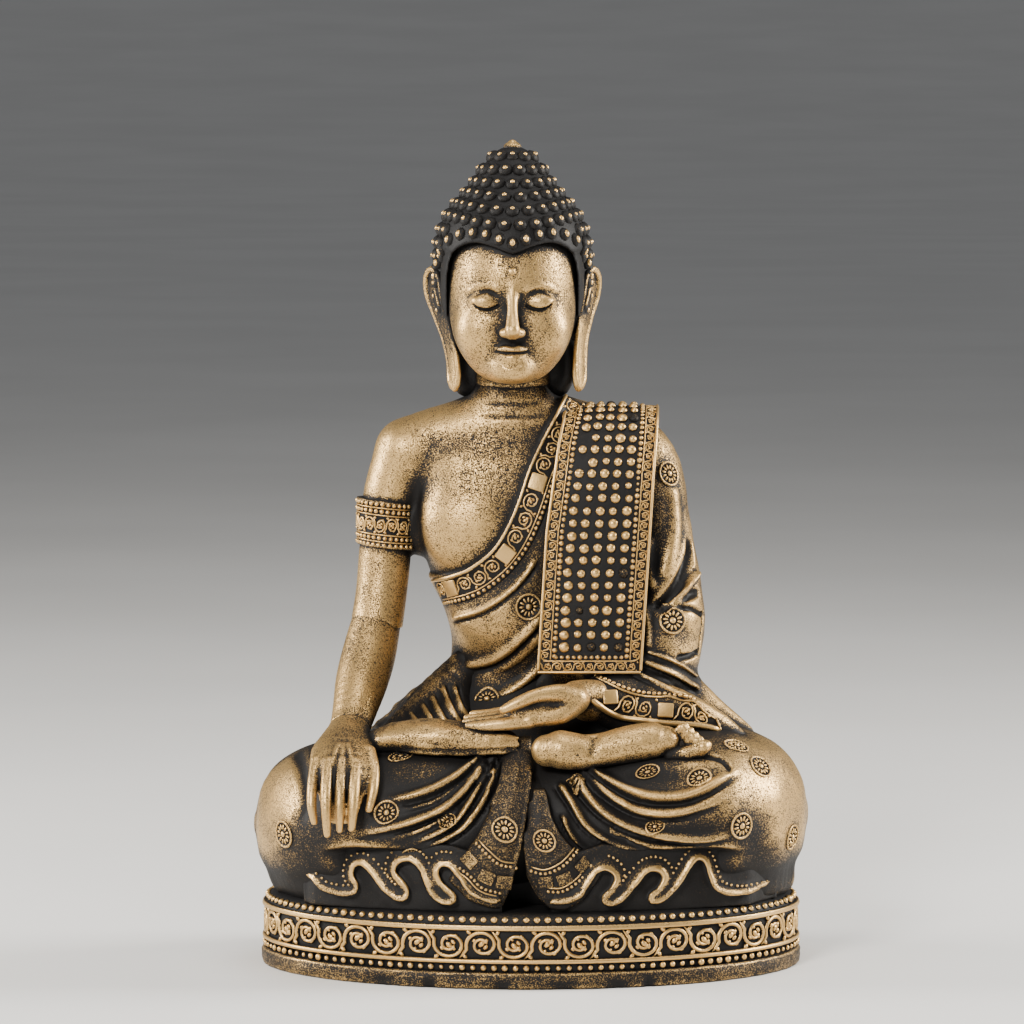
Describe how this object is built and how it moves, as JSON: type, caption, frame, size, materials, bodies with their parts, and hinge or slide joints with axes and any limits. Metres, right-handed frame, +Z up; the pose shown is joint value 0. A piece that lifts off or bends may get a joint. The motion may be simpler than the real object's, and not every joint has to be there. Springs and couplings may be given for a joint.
{
  "type": "seated buddha statue",
  "caption": "Small cross-legged buddha statue in a patterned robe and folded shawl, right hand over the knee, left hand in the lap, on an oval beaded plinth; stands on a shelf.",
  "frame": {"origin": "middle of the plinth's underside, on the surface the statue stands on", "axes": "+Z up, +Y towards the figure's back, +X towards the figure's left (the viewer's right)"},
  "size_m": [0.1348, 0.0886, 0.199],
  "materials": {
    "dry_brushed_bronze": "cast resin, dry-brushed with metallic bronze-gold over a black ground",
    "dark_ground": "cast resin, matte black ground with little gilding",
    "felt": "felt"
  },
  "bodies": {
    "root": {"felt_pad": "felt", "plinth_body": "dark_ground", "plinth_foot_band": "dry_brushed_bronze", "plinth_lower_beads": "dry_brushed_bronze", "plinth_lower_fillet": "dry_brushed_bronze", "plinth_scroll_frieze": "dry_brushed_bronze", "plinth_upper_fillet": "dry_brushed_bronze", "plinth_upper_beads": "dry_brushed_bronze", "robe_seat": "dark_ground", "robe_right_leg": "dry_brushed_bronze", "robe_left_leg": "dry_brushed_bronze", "hem_edge_right": "dry_brushed_bronze", "hem_edge_left": "dry_brushed_bronze", "apron_panel_right": "dry_brushed_bronze", "apron_panel_left": "dry_brushed_bronze", "robe_rosettes": "dry_brushed_bronze", "torso": "dry_brushed_bronze", "chest_border": "dry_brushed_bronze", "waist_roll": "dry_brushed_bronze", "lap_border": "dry_brushed_bronze", "left_sleeve": "dry_brushed_bronze", "left_hand": "dry_brushed_bronze", "right_foot": "dry_brushed_bronze", "left_foot": "dry_brushed_bronze", "right_upper_arm": "dry_brushed_bronze", "armlet": "dry_brushed_bronze", "right_forearm": "dry_brushed_bronze", "right_hand": "dry_brushed_bronze", "shawl": "dark_ground", "shawl_frame": "dry_brushed_bronze", "shawl_beading": "dry_brushed_bronze", "shawl_studs": "dry_brushed_bronze", "neck": "dry_brushed_bronze", "head": "dry_brushed_bronze", "hair_cap": "dark_ground", "hair_curls": "dry_brushed_bronze", "crown_finial": "dry_brushed_bronze", "right_ear": "dry_brushed_bronze", "left_ear": "dry_brushed_bronze"}
  },
  "joints": []
}
